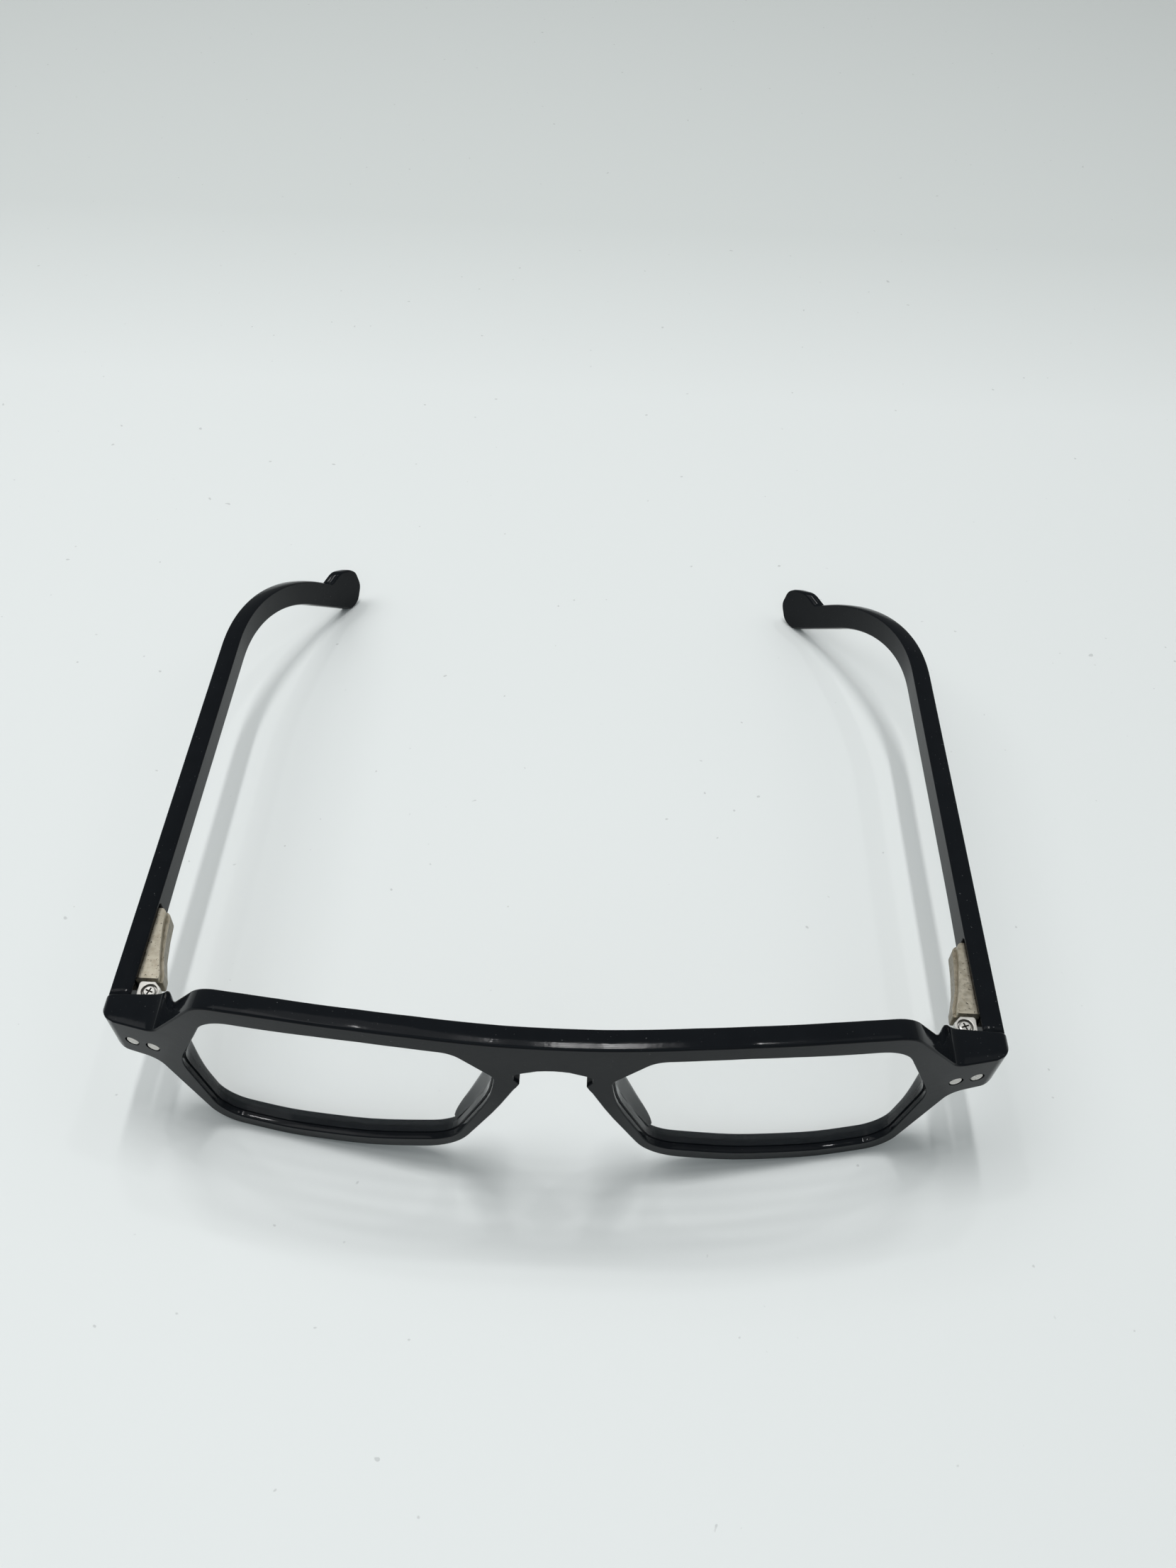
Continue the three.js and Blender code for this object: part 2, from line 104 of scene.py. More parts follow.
# ---- Nose pads: (x, z) lines along the nose and along the rim, and the section between them ----
PAD_NOSE = [(13.5, 10.2), (10.5, 17.2), (8.45, 23), (6.6, 28.2), (5.6, 32.0)]
PAD_RIM = [(15.6, 11.2), (12.7, 17.8), (10.8, 23), (9.35, 28), (8.9, 32.4)]
PAD_SECTION = [                  # (share of the depth, share of the way from nose to rim)
    (0, 0), (0.45, 0), (0.75, 0.02), (0.9, 0.1), (0.98, 0.25), (1, 0.45), (0.97, 0.65), (0.88, 0.82),
    (0.7, 0.94), (0.4, 1), (0, 1),
]
PAD_ROWS = 34
PAD_DEPTH = 3.0
PAD_END_DEPTH = 0.25
PAD_SUNK = 0.8
PAD_FLARE = 0.9
PAD_FULLNESS = 0.75              # the smaller, the longer the pad keeps its full depth

# ---- Lenses ----
LENS_MIDDLE = (33.5, 22)
LENS_REACH = 0.6                 # how far the lens reaches into the groove
LENS_DEPTHS = (1.2, 2.3)
LENS_COLUMNS = 64
LENS_ROWS = 6
LENS_END = 0.01                  # the outermost strips stop this short of the lens's tips

# ---- Temples ----
TEMPLE_OUTER = 70.15
TEMPLE_THICK = 3.3
TEMPLE_TOP = 27.9
TEMPLE_HEIGHT = 5.3
MID_Z = TEMPLE_TOP - TEMPLE_HEIGHT / 2
BUTT_HEIGHT = 6.6
BUTT_Y = END_REAR + 0.3
TAPER_END_Y = 45
TAPER_STEPS = 16
TAPER_POWER = 1.5
BEND_Y = 97
BEND_RADIUS = 46
BEND_STEPS = 26
DROP = math.radians(45)
TIP = [                          # corners (y, z, radius)
    (133.9, 11.2, 0.8), (136.8, 12.3, 2.4), (140.9, 10.1, 4.2), (142.0, 4.6, 5.5), (140.5, 0, 2.4),
    (138.2, 0, 1.0),
]
CAD_TIP_INWARD = 15
TIP_INWARD = {1: 17.3, -1: 13.2}  # by side: the two tails have been bent unequally
TIP_THINNING = 0.3
INWARD_START_Y = 95
INWARD_END_Y = 139
HOUSING_OUTER = 67.6
POCKET_TOP = 26.85
POCKET_REAR = 32.4
POCKET_BOTTOM = 21.9
POCKET_CORNER = 0.4
LAYER_DEPTH = TEMPLE_OUTER - HOUSING_OUTER - 0.05  # just short of the housing
TEMPLE_EDGE = 0.3
OUTER_LAYER = [(0, 2.1), (0.09, LAYER_DEPTH)]  # (inset, depth) pairs, like the one below
INNER_LAYER = [(0.025, 2.2), (0.15, 2.95), (0.27, 3.2), (0.45, TEMPLE_THICK)]

# ---- Softened edges of the metal pieces ----
HOUSING_EDGE = 0.12
KNUCKLE_EDGE = 0.08
PLATE_EDGE = 0.1
BEVEL_ANGLE = math.radians(35)
WELD_DISTANCE = 0.002
FLAT_ANGLE = math.radians(1)

# ---- How finely the shapes are drawn ----
POINT_STEP = 1.3
TURN_STEP = math.radians(7)
STRAIGHT = 1e-3                  # a corner that turns by less stays a single point
EDGE_STEPS = 3
CIRCLE_STEPS = 28
MITRE_LIMIT = 0.4
SLIVER = 1e-4                    # a patch of flat triangles smaller than this is left out
SAME_POINT = 1e-7
FREE_GAP = 0.3                   # free points stay this far from the outlines
SMOOTH_ANGLE = math.radians(50)
CREASE_ANGLE = math.radians(40)

# ---- Stage and lights, in metres, and the camera ----
TABLE_SIZE = 4
# The far part of the table gets painted shade, starting and deepest at these distances.
FAR_SHADE = (0.165, 0.27)        # how far back the table starts to darken, and is darkest
WHITE = (1, 1, 1)
LAMP_ROW_X = 0.005
LAMP_ROW_Z = 1.1
LAMP_ROW_YS = [-0.09 + 0.07 * k for k in range(7)]
LAMP_ROW_SIZE = 0.045
LAMP_ROW_POWER = 0.543
LIGHTS = [                       # (name, place, size, power in watts, color), all aimed at the middle
    ("ceiling_glow", (-0.3, 0.15, 1.1), 0.7, 1.9, WHITE),
    ("lamp_left", (-0.31, 0.25, 1.1), 0.04, 0.53, WHITE),
    ("lamp_right", (0.33, 0.25, 1.1), 0.04, 0.53, WHITE),
    ("side_left", (-0.6, 0.0, 0.95), 0.6, 2.2, WHITE),
    ("side_right", (0.6, 0.0, 0.95), 0.6, 0.6, WHITE),
    ("front_light", (0.0, -0.9, 0.9), 0.8, 1.3, (0.76, 0.9, 1)),
]
ROOM_COLOR = (0.96, 1.0, 0.99, 1)
ROOM_STRENGTH = 0.3
CAMERA_PLACE = (2.584, -90.066, 201.699)
CAMERA_PITCH = 48.790
CAMERA_YAW = 0.281
CAMERA_ROLL = 2.722
CAMERA_LENS = 29.295
CAMERA_SENSOR = 36
CAMERA_NEAR = 0.005

# The CAD's Y of the end pieces' rear face gives the shift from these lengths to the frame.
Y_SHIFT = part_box("front_frame")[1][1] / MM - END_REAR


def metres(x, y, z):
    """A point of the lengths above as a point of the frame."""
    return Vector((x, y + Y_SHIFT, z)) * MM


def front_face(x, z):
    """The Y of the tilted and bowed front surface."""
    return (TILT_HEIGHT - z) * math.tan(TILT) + x * x / (2 * BOW_RADIUS)


def share_of(value, low, high):
    """A smooth step from 0 at low to 1 at high."""
    share = max(0, min(1, (value - low) / (high - low)))
    return share * share * (3 - 2 * share)


# ---- Outlines ----
def rounded(corners):
    """Points of a closed outline of (u, v, radius) corners, with round corners and short steps."""
    points = []
    for i, (u, v, radius) in enumerate(corners):
        here = Vector((u, v))
        back = (Vector(corners[i - 1][:2]) - here).normalized()
        ahead = (Vector(corners[(i + 1) % len(corners)][:2]) - here).normalized()
        turn = math.pi - back.angle(ahead)
        if radius == 0 or turn < STRAIGHT:
            points.append(here)
            continue
        reach = radius * math.tan(turn / 2)
        centre = here + (back + ahead).normalized() * radius / math.cos(turn / 2)
        start = here + back * reach - centre
        spin = -1 if back.cross(ahead) > 0 else 1
        count = max(1, math.ceil(turn / TURN_STEP))
        points += [centre + Matrix.Rotation(spin * turn * k / count, 2) @ start for k in range(count + 1)]
    fine = []
    for i, point in enumerate(points):
        following = points[(i + 1) % len(points)]
        count = max(1, math.ceil((following - point).length / POINT_STEP))
        fine += [point.lerp(following, k / count) for k in range(count)]
    return fine


def symmetric(half):
    return half + [(-x, z, radius) for x, z, radius in reversed(half) if x > 0]


def circle(u, v, radius):
    angles = [2 * math.pi * k / CIRCLE_STEPS for k in range(CIRCLE_STEPS)]
    return [Vector((u + radius * math.cos(a), v + radius * math.sin(a))) for a in angles]


def area(points):
    """The enclosed area, positive when the points run counterclockwise."""
    return sum(points[i - 1].cross(p) for i, p in enumerate(points)) / 2


# ---- Plates with rounded edges ----
def round_edge(radius):
    """(inset, depth) pairs of a quarter round from the face to the wall."""
    angles = [math.pi / 2 * k / EDGE_STEPS for k in range(EDGE_STEPS + 1)]
    return [(radius * (1 - math.sin(a)), radius * (1 - math.cos(a))) for a in angles]


def front_wall(near, far, middle=()):
    """The whole profile from the front's near face to its far face, with a rounded edge at each."""
    rear = [(inset, FRONT_THICK - depth) for inset, depth in reversed(round_edge(far))]
    return round_edge(near) + list(middle) + rear


def outward(points):
    """Mitred directions out of the material at each point of a counterclockwise loop."""
    result = []
    for i, point in enumerate(points):
        before = (point - points[i - 1]).normalized()
        after = (points[(i + 1) % len(points)] - point).normalized()
        normals = [Vector((d.y, -d.x)) for d in (before, after)]
        total = normals[0] + normals[1]
        result.append(total / max(MITRE_LIMIT, 1 + normals[0].dot(normals[1])))
    return result


def inside(point, loops):
    """Whether a point is in the first loop and in none of the holes."""
    crossings = 0
    for points in loops:
        for i, b in enumerate(points):
            a = points[i - 1]
            if (a.y > point.y) != (b.y > point.y):
                crossings += point.x < a.x + (point.y - a.y) * (b.x - a.x) / (b.y - a.y)
    return crossings % 2 == 1


def edges_of(triangle):
    return [frozenset((triangle[i - 1], triangle[i])) for i in range(3)]


def cap_triangles(loops, free):
    """Well-shaped triangles between the loops and through the free points inside them.

    The triangles are indices into all the loops' points in a row and then the free points.
    """
    points = [p for loop in loops for p in loop] + free
    edges = []
    for loop in loops:
        first = len(edges)
        edges += [(first + i, first + (i + 1) % len(loop)) for i in range(len(loop))]
    found = delaunay_2d_cdt(points, edges, [], 0, SAME_POINT)
    source = [old[0] for old in found[3]]
    triangles = [[source[k] for k in triangle] for triangle in found[2]]
    drawn = {frozenset(edge) for edge in edges}
    beside = {}
    for number, triangle in enumerate(triangles):
        for edge in edges_of(triangle):
            beside.setdefault(edge, []).append(number)
    # Triangles that meet across an undrawn edge are all inside or all outside, and the biggest
    # triangle of such a patch tells which.
    waiting = set(range(len(triangles)))
    while waiting:
        patch = [waiting.pop()]
        for number in patch:
            for edge in edges_of(triangles[number]):
                if edge not in drawn:
                    reached = waiting.intersection(beside[edge])
                    waiting -= reached
                    patch += reached
        biggest = max(([points[k] for k in triangles[number]] for number in patch),
                      key=lambda corners: abs(area(corners)))
        if abs(area(biggest)) > SLIVER and inside(sum(biggest, Vector((0, 0))) / 3, loops):
            yield from (triangles[number] for number in patch)


def profile_normals(profile):
    """For each stretch of a profile, its normals at both ends as (outward, depth)."""
    own = []
    for (inset, depth), (next_inset, next_depth) in zip(profile, profile[1:]):
        own.append(Vector((next_depth - depth, next_inset - inset)).normalized())
    around = [Vector((0, -1)), *own, Vector((0, 1))]
    result = []
    for i, normal in enumerate(own, 1):
        ends = []
        for near, cap in ((around[i - 1], i == 1), (around[i + 1], i == len(own))):
            if near.angle(normal) > SMOOTH_ANGLE:
                ends.append(normal)
            else:
                ends.append(near if cap else (near + normal).normalized())
        result.append(ends)
    return result


def normal_at(place, u, v, w, push):
    """The direction in space of a push (du, dv, dw) away from the material."""
    step = 0.01
    along = [
        place(u + step, v, w) - place(u - step, v, w),
        place(u, v + step, w) - place(u, v - step, w),
        place(u, v, w + step) - place(u, v, w - step),
    ]
    crossed = [along[1].cross(along[2]), along[2].cross(along[0]), along[0].cross(along[1])]
    total = sum((c * p for c, p in zip(crossed, push)), Vector((0, 0, 0)))
    return (total * (1 if along[0].dot(crossed[0]) > 0 else -1)).normalized()


def unscaled(u, v):
    """The scale of an edge that is equally round everywhere."""
    return 1


def plate(bm, normals, loops, place, near_scale=unscaled, far_scale=unscaled, free=()):
    """A plate of loops [(points, profile)], the first one the outside. place(u, v, w) maps it.

    The scales widen the rounding of the near and far edges from place to place. The faces also
    follow the mapping at the free points. The normals of every face's corners go into the given
    dictionary.
    """
    ends = {0: ([], []), -1: ([], [])}
    thick = loops[0][1][-1][1]
    for index, (points, profile) in enumerate(loops):
        if (area(points) > 0) != (index == 0):
            points = list(reversed(points))
        ways = outward(points)
        rings = []
        for inset, depth in profile:
            ring = []
            for point, way in zip(points, ways):
                if depth < thick / 2:
                    grow = near_scale(point.x, point.y)
                    w = depth * grow
                else:
                    grow = far_scale(point.x, point.y)
                    w = thick - (thick - depth) * grow
                flat = point - way * inset * grow
                ring.append((bm.verts.new(place(flat.x, flat.y, w)), flat, w))
            rings.append(ring)
        for low, high, (start, end) in zip(rings, rings[1:], profile_normals(profile)):
            for i in range(len(low)):
                j = (i + 1) % len(low)
                corners = [(low[i], start, i), (low[j], start, j), (high[j], end, j), (high[i], end, i)]
                face = bm.faces.new([corner[0][0] for corner in corners])
                normals[face] = {
                    vert: normal_at(place, flat.x, flat.y, w, (*(ways[k] * push.x), push.y))
                    for (vert, flat, w), push, k in corners}
        for end, (verts, outlines) in ends.items():
            verts += rings[end]
            outlines.append([flat for vert, flat, w in rings[end]])
    for end, (verts, outlines) in ends.items():
        push, w = ((0, 0, -1), 0) if end == 0 else ((0, 0, 1), thick)
        loose = [p for p in free if inside(p, outlines)
                 and min((p - q).length for outline in outlines for q in outline) > FREE_GAP]
        verts += [(bm.verts.new(place(p.x, p.y, w)), p, w) for p in loose]
        for triangle in cap_triangles(outlines, loose):
            face = bm.faces.new([verts[k][0] for k in triangle])
            normals[face] = {vert: normal_at(place, flat.x, flat.y, w, push)
                             for vert, flat, w in (verts[k] for k in triangle)}


def add_piece(name, bm, material, body, slot, *nodes, normals=None):
    """Turns a bmesh into a finished piece that rides on a body and stands for CAD nodes."""
    bmesh.ops.recalc_face_normals(bm, faces=bm.faces)
    bm.faces.index_update()
    mesh = bpy.data.meshes.new(name)
    custom = None
    if normals:
        custom = [normals[face][loop.vert] for face in bm.faces for loop in face.loops]
    bm.to_mesh(mesh)
    bm.free()
    for polygon in mesh.polygons:
        polygon.use_smooth = True
    mesh.materials.append(material)
    piece = bpy.data.objects.new(name, mesh)
    bpy.context.collection.objects.link(piece)
    if custom:
        mesh.normals_split_custom_set(custom)
    else:
        mesh.set_sharp_from_angle(angle=CREASE_ANGLE)
        piece.modifiers.new("flat faces", "WEIGHTED_NORMAL").keep_sharp = True
    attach(piece, body)
    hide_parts(*nodes)


# ---- Materials. The scales of noise are in waves per metre ----
NOISE_ROUGHNESS = 0.55


class Shader:
    """A Principled material with helpers for the few kinds of detail used here."""

    def __init__(self, name, **values):
        self.material = bpy.data.materials.new(name)
        self.material.use_nodes = True
        self.nodes = self.material.node_tree.nodes
        self.links = self.material.node_tree.links
        self.shader = self.nodes["Principled BSDF"]
        self.coords = self.nodes.new("ShaderNodeTexCoord").outputs["Object"]
        self.height = None
        for key, value in values.items():
            self.shader.inputs[key.replace("_", " ")].default_value = value

    def noise(self, scale, detail=3, stretch=(1, 1, 1), turn=(0, 0, 0)):
        mapping = self.nodes.new("ShaderNodeMapping")
        mapping.inputs["Scale"].default_value = stretch
        mapping.inputs["Rotation"].default_value = turn
        self.links.new(self.coords, mapping.inputs["Vector"])
        texture = self.nodes.new("ShaderNodeTexNoise")
        texture.inputs["Scale"].default_value = scale
        texture.inputs["Detail"].default_value = detail
        texture.inputs["Roughness"].default_value = NOISE_ROUGHNESS
        self.links.new(mapping.outputs["Vector"], texture.inputs["Vector"])
        return texture.outputs["Fac"]

    def spread(self, value, low, high, to_low, to_high):
        """Maps low to high of a value onto to_low to to_high, and holds it there beyond them."""
        node = self.nodes.new("ShaderNodeMapRange")
        node.inputs["From Min"].default_value = low
        node.inputs["From Max"].default_value = high
        node.inputs["To Min"].default_value = to_low
        node.inputs["To Max"].default_value = to_high
        self.links.new(value, node.inputs["Value"])
        return node.outputs["Result"]

    def place(self, axis):
        """One coordinate of the point being shaded."""
        split = self.nodes.new("ShaderNodeSeparateXYZ")
        self.links.new(self.coords, split.inputs["Vector"])
        return split.outputs[axis]

    def mix(self, factor, first, second):
        """A mix of two colors, each a tuple or a socket."""
        node = self.nodes.new("ShaderNodeMix")
        node.data_type = "RGBA"
        self.links.new(factor, node.inputs["Factor"])
        for value, socket in ((first, node.inputs[6]), (second, node.inputs[7])):
            if isinstance(value, tuple):
                socket.default_value = (*value, 1)
            else:
                self.links.new(value, socket)
        return node.outputs[2]

    def color(self, value):
        self.links.new(value, self.shader.inputs["Base Color"])

    def roughness(self, value):
        self.links.new(value, self.shader.inputs["Roughness"])

    def bump(self, value, distance):
        """Adds relief of so many millimetres on top of the relief added before."""
        node = self.nodes.new("ShaderNodeBump")
        node.inputs["Distance"].default_value = distance * MM
        node.inputs["Strength"].default_value = 1
        self.links.new(value, node.inputs["Height"])
        if self.height:
            self.links.new(self.height, node.inputs["Normal"])
        self.height = node.outputs["Normal"]
        self.links.new(self.height, self.shader.inputs["Normal"])


def acetate(name, dark, pale, rough):
    """Polished black acetate: slow ripples, hairline scratches, grease and specks of dust."""
    shader = Shader(name, IOR=1.49, Specular_IOR_Level=0.065)
    cloud = shader.noise(220, 4)
    dust = shader.spread(shader.noise(2600, 2), 0.72, 0.78, 0, 0.3)
    tone = shader.mix(cloud, dark, pale)
    shader.color(shader.mix(dust, tone, (0.28, 0.29, 0.29)))
    scratch = shader.spread(shader.noise(1400, 2, (1, 0.05, 1), (0.3, 0, 0.6)), 0.70, 0.74, 0, 1)
    shader.roughness(shader.spread(shader.noise(130, 5), 0.3, 0.75, rough, rough + 0.09))
    shader.bump(shader.noise(110, 2), 0.03)
    shader.bump(shader.noise(900, 2), 0.006)
    shader.bump(scratch, 0.003)
    return shader.material


def metal(name, base, shade, rough, grain=(1, 0.08, 1), pits=0.66, stains=0.7, painted_shade=None):
    """Worn metal: a fine lengthwise grain, darker stains, small pits and, if given, painted shade below a
    height.

    Painted shade is (low, high, color): shade painted over the metal below the low height, fading out to
    the high one.
    """
    shader = Shader(name, Metallic=1.0)
    stain = shader.spread(shader.noise(900, 5), 0.42, 0.75, 0, stains)
    pit = shader.spread(shader.noise(2400, 2), pits, pits + 0.05, 0, 0.9)
    color = shader.mix(pit, shader.mix(stain, base, shade), tuple(0.15 * c for c in shade))
    # painted shade: the metal below a given height is painted in a darker colour
    if painted_shade:
        low, high, shade_tint = painted_shade
        color = shader.mix(shader.spread(shader.place("Z"), low * MM, high * MM, 1, 0), color, shade_tint)
    shader.color(color)
    shader.roughness(shader.spread(shader.noise(1500, 3), 0.3, 0.8, rough, rough + 0.2))
    shader.bump(shader.noise(5200, 2, grain), 0.002)
    shader.bump(pit, -0.012)
    return shader.material


def clear_plastic():
    """Nearly invisible plastic with faint smears."""
    shader = Shader("clear_lens", Alpha=0.045, IOR=1.5)
    shader.color(shader.mix(shader.noise(60, 2), (0.33, 0.35, 0.35), (0.4, 0.42, 0.42)))
    shader.roughness(shader.spread(shader.noise(300, 4), 0.45, 0.8, 0.02, 0.12))
    return shader.material


def table_paint():
    """A pale table with a slow change of tone, a few specks and painted shade on its far side."""
    shader = Shader("table_white", Roughness=0.6)
    tone = shader.mix(shader.noise(3, 2), (0.755, 0.785, 0.78), (0.785, 0.81, 0.805))
    # painted shade: the far part of the table is painted darker, as less light falls there
    shaded = shader.mix(shader.spread(shader.place("Y"), *FAR_SHADE, 0, 1), tone, (0.66, 0.69, 0.68))
    speck = shader.spread(shader.noise(420, 1), 0.775, 0.80, 0, 0.35)
    shader.color(shader.mix(speck, shaded, (0.25, 0.26, 0.26)))
    return shader.material


FRONT_BLACK = acetate("front_black", (0.005, 0.006, 0.0075), (0.008, 0.0095, 0.0115), 0.045)
TEMPLE_BLACK = acetate("temple_black", (0.005, 0.006, 0.0075), (0.008, 0.0095, 0.0115), 0.06)
PAD_BLACK = acetate("pad_black", (0.004, 0.005, 0.006), (0.008, 0.009, 0.011), 0.1)
RIVET_SILVER = metal("rivet_silver", (0.62, 0.60, 0.57), (0.42, 0.40, 0.37), 0.34, grain=(1, 1, 1))
# painted shade: the housing's sides below its bulge are painted dark brown, as less light reaches them
HOUSING_METAL = metal("housing_nickel", (0.44, 0.405, 0.33), (0.25, 0.22, 0.16), 0.3, pits=0.64,
                      painted_shade=(25.05, 25.3, (0.2, 0.175, 0.13)))
LUG_METAL = metal("lug_nickel", (0.56, 0.55, 0.52), (0.40, 0.38, 0.35), 0.36, pits=0.74, stains=0.4)
# painted shade: the screw is painted near black below the top of its head, where it sits in the shade of
# its sink
SCREW_STEEL = metal("screw_steel", (0.66, 0.65, 0.62), (0.40, 0.38, 0.35), 0.26, pits=0.78, stains=0.3,
                    painted_shade=(26.2, 26.36, (0.02, 0.018, 0.015)))
SPRING_STEEL = metal("spring_steel", (0.60, 0.59, 0.57), (0.35, 0.33, 0.30), 0.3)
LENS_CLEAR = clear_plastic()


# ---- Front ----
def in_keyhole(x, z):
    return abs(x) < KEYHOLE_HALF and KEYHOLE_HEIGHTS[0] < z < KEYHOLE_HEIGHTS[1]


def front_edges(x, z):
    """The top of the brow is rounder than the other edges, and the keyhole's corners are tight."""
    return KEYHOLE_SHARE if in_keyhole(x, z) else 1 + BROW_ROUNDER * share_of(z, *BROW_HEIGHTS)


def rear_edges(x, z):
    return KEYHOLE_SHARE if in_keyhole(x, z) else 1


def place_front(x, z, w):
    """Bows and tilts the front, rounds its outer corners and makes the end pieces deeper."""
    start = front_face(x, z)
    fixed = FRONT_THICK - REAR_BAND
    if w < fixed:
        beyond = max(0, abs(x) - FRONT_HALF + END_ROUND[0]) / END_ROUND[0]
        curve = END_ROUND[1] * (1 - math.sqrt(max(0, 1 - beyond ** 2)))
        return metres(x, start + w + curve * (1 - w / fixed), z)
    deeper = (END_REAR - start - FRONT_THICK) * share_of(abs(x), *RAMP)
    return metres(x, start + w + deeper, z)


def build_front():
    bm = bmesh.new()
    normals = {}
    outside = (rounded(symmetric(OUTER_HALF)), front_wall(*OUTER_EDGES))
    openings = [[(side * x, z, radius) for x, z, radius in OPENING] for side in (1, -1)]
    holes = [(rounded(opening), front_wall(*OPENING_EDGES, GROOVE)) for opening in openings]
    rivets = [(circle(side * x, RIVET_Z, RIVET_HOLE), front_wall(*RIVET_EDGES))
              for side in (1, -1) for x in RIVETS]
    columns = [RAMP[0] + (RAMP[1] - RAMP[0]) * k / RAMP_COLUMNS for k in range(RAMP_COLUMNS + 1)]
    columns += [FRONT_HALF - END_ROUND[0] * share for share in CORNER_COLUMNS]
    free = [Vector((side * x, z)) for x in columns for z in FREE_HEIGHTS for side in (1, -1)]
    plate(bm, normals, [outside, *holes, *rivets], place_front, front_edges, rear_edges, free)
    add_piece("front_rims", bm, FRONT_BLACK, "front", "front_acetate", "front_frame", normals=normals)


def spline(points, share):
    """A point of the smooth curve through the given points."""
    place = share * (len(points) - 1)
    i = min(int(place), len(points) - 2)
    t = place - i
    p = [Vector(points[max(0, min(len(points) - 1, i + k))]) for k in (-1, 0, 1, 2)]
    return 0.5 * (2 * p[1] + (p[2] - p[0]) * t + (2 * p[0] - 5 * p[1] + 4 * p[2] - p[3]) * t ** 2
                  + (3 * p[1] - p[0] - 3 * p[2] + p[3]) * t ** 3)


def build_pad(word, side):
    """A nose pad that grows out of the back of the rim and flares away from the nose."""
    bm = bmesh.new()
    rows = []
    for i in range(PAD_ROWS + 1):
        share = i / PAD_ROWS
        nose = spline(PAD_NOSE, share)
        rim = spline(PAD_RIM, share)
        deep = PAD_END_DEPTH + PAD_DEPTH * (1 - (2 * share - 1) ** 2) ** PAD_FULLNESS
        row = []
        for part, across in PAD_SECTION:
            x, z = nose.lerp(rim, across)
            y = front_face(x, z) + FRONT_THICK - PAD_SUNK + part * (deep + PAD_SUNK)
            row.append(bm.verts.new(metres(side * (x + PAD_FLARE * part ** 2), y, z)))
        rows.append(row)
    for low, high in zip(rows, rows[1:]):
        for k in range(len(low)):
            j = (k + 1) % len(low)
            bm.faces.new((low[k], low[j], high[j], high[k]))
    bm.faces.new(rows[0])
    bm.faces.new(rows[-1])
    add_piece(f"nose_pad_{word}_moulded", bm, PAD_BLACK, "front", "pad_acetate", f"nose_pad_{word}")


def build_lens(word, side):
    """A thin clear lens, bent like the front, in upright strips."""
    bm = bmesh.new()
    middle = Vector(LENS_MIDDLE)
    points = [p + (p - middle).normalized() * LENS_REACH for p in rounded(OPENING)]
    low = min(p.x for p in points)
    high = max(p.x for p in points)
    columns = []
    for k in range(LENS_COLUMNS + 1):
        share = (1 - math.cos(math.pi * k / LENS_COLUMNS)) / 2
        x = low + LENS_END + (high - low - 2 * LENS_END) * share
        crossed = []
        for a, b in zip(points, points[1:] + points[:1]):
            if (a.x - x) * (b.x - x) < 0:
                crossed.append(a.y + (b.y - a.y) * (x - a.x) / (b.x - a.x))
        bottom = min(crossed)
        top = max(crossed)
        column = [(x, bottom + (top - bottom) * j / LENS_ROWS) for j in range(LENS_ROWS + 1)]
        columns.append([[bm.verts.new(metres(side * u, front_face(u, v) + w, v)) for u, v in column]
                        for w in LENS_DEPTHS])
    for first, second in zip(columns, columns[1:]):
        for face in (0, 1):
            for j in range(LENS_ROWS):
                bm.faces.new((first[face][j], second[face][j], second[face][j + 1], first[face][j + 1]))
        for j in (0, LENS_ROWS):
            bm.faces.new((first[0][j], second[0][j], second[1][j], first[1][j]))
    for column in (columns[0], columns[-1]):
        for j in range(LENS_ROWS):
            bm.faces.new((column[0][j], column[0][j + 1], column[1][j + 1], column[1][j]))
    add_piece(f"lens_{word}_clear", bm, LENS_CLEAR, "front", "lens_clear", f"lens_{word}")


# ---- Temples ----
def round_bend(offset):
    """The bend behind the ear, at an offset above the temple's middle line."""
    radius = BEND_RADIUS + offset
    angles = [DROP * k / BEND_STEPS for k in range(BEND_STEPS + 1)]
    return [(BEND_Y + radius * math.sin(a), MID_Z - BEND_RADIUS + radius * math.cos(a), 0) for a in angles]


def tail_share(y):
    """0 on the straight part of the temple, 1 at the tip."""
    return max(0, y - INWARD_START_Y) / (INWARD_END_Y - INWARD_START_Y)


def temple_outline():
    upper = round_bend(TEMPLE_HEIGHT / 2)
    lower = round_bend(-TEMPLE_HEIGHT / 2)
    taper = []
    for k in range(TAPER_STEPS + 1):
        along = k / TAPER_STEPS
        extra = (BUTT_HEIGHT - TEMPLE_HEIGHT) * (1 - along) ** TAPER_POWER
        taper.append((BUTT_Y + (TAPER_END_Y - BUTT_Y) * along, TEMPLE_TOP - TEMPLE_HEIGHT - extra, 0))
    return [(BUTT_Y, TEMPLE_TOP, 0), *upper, *TIP, *reversed(lower), *reversed(taper)]


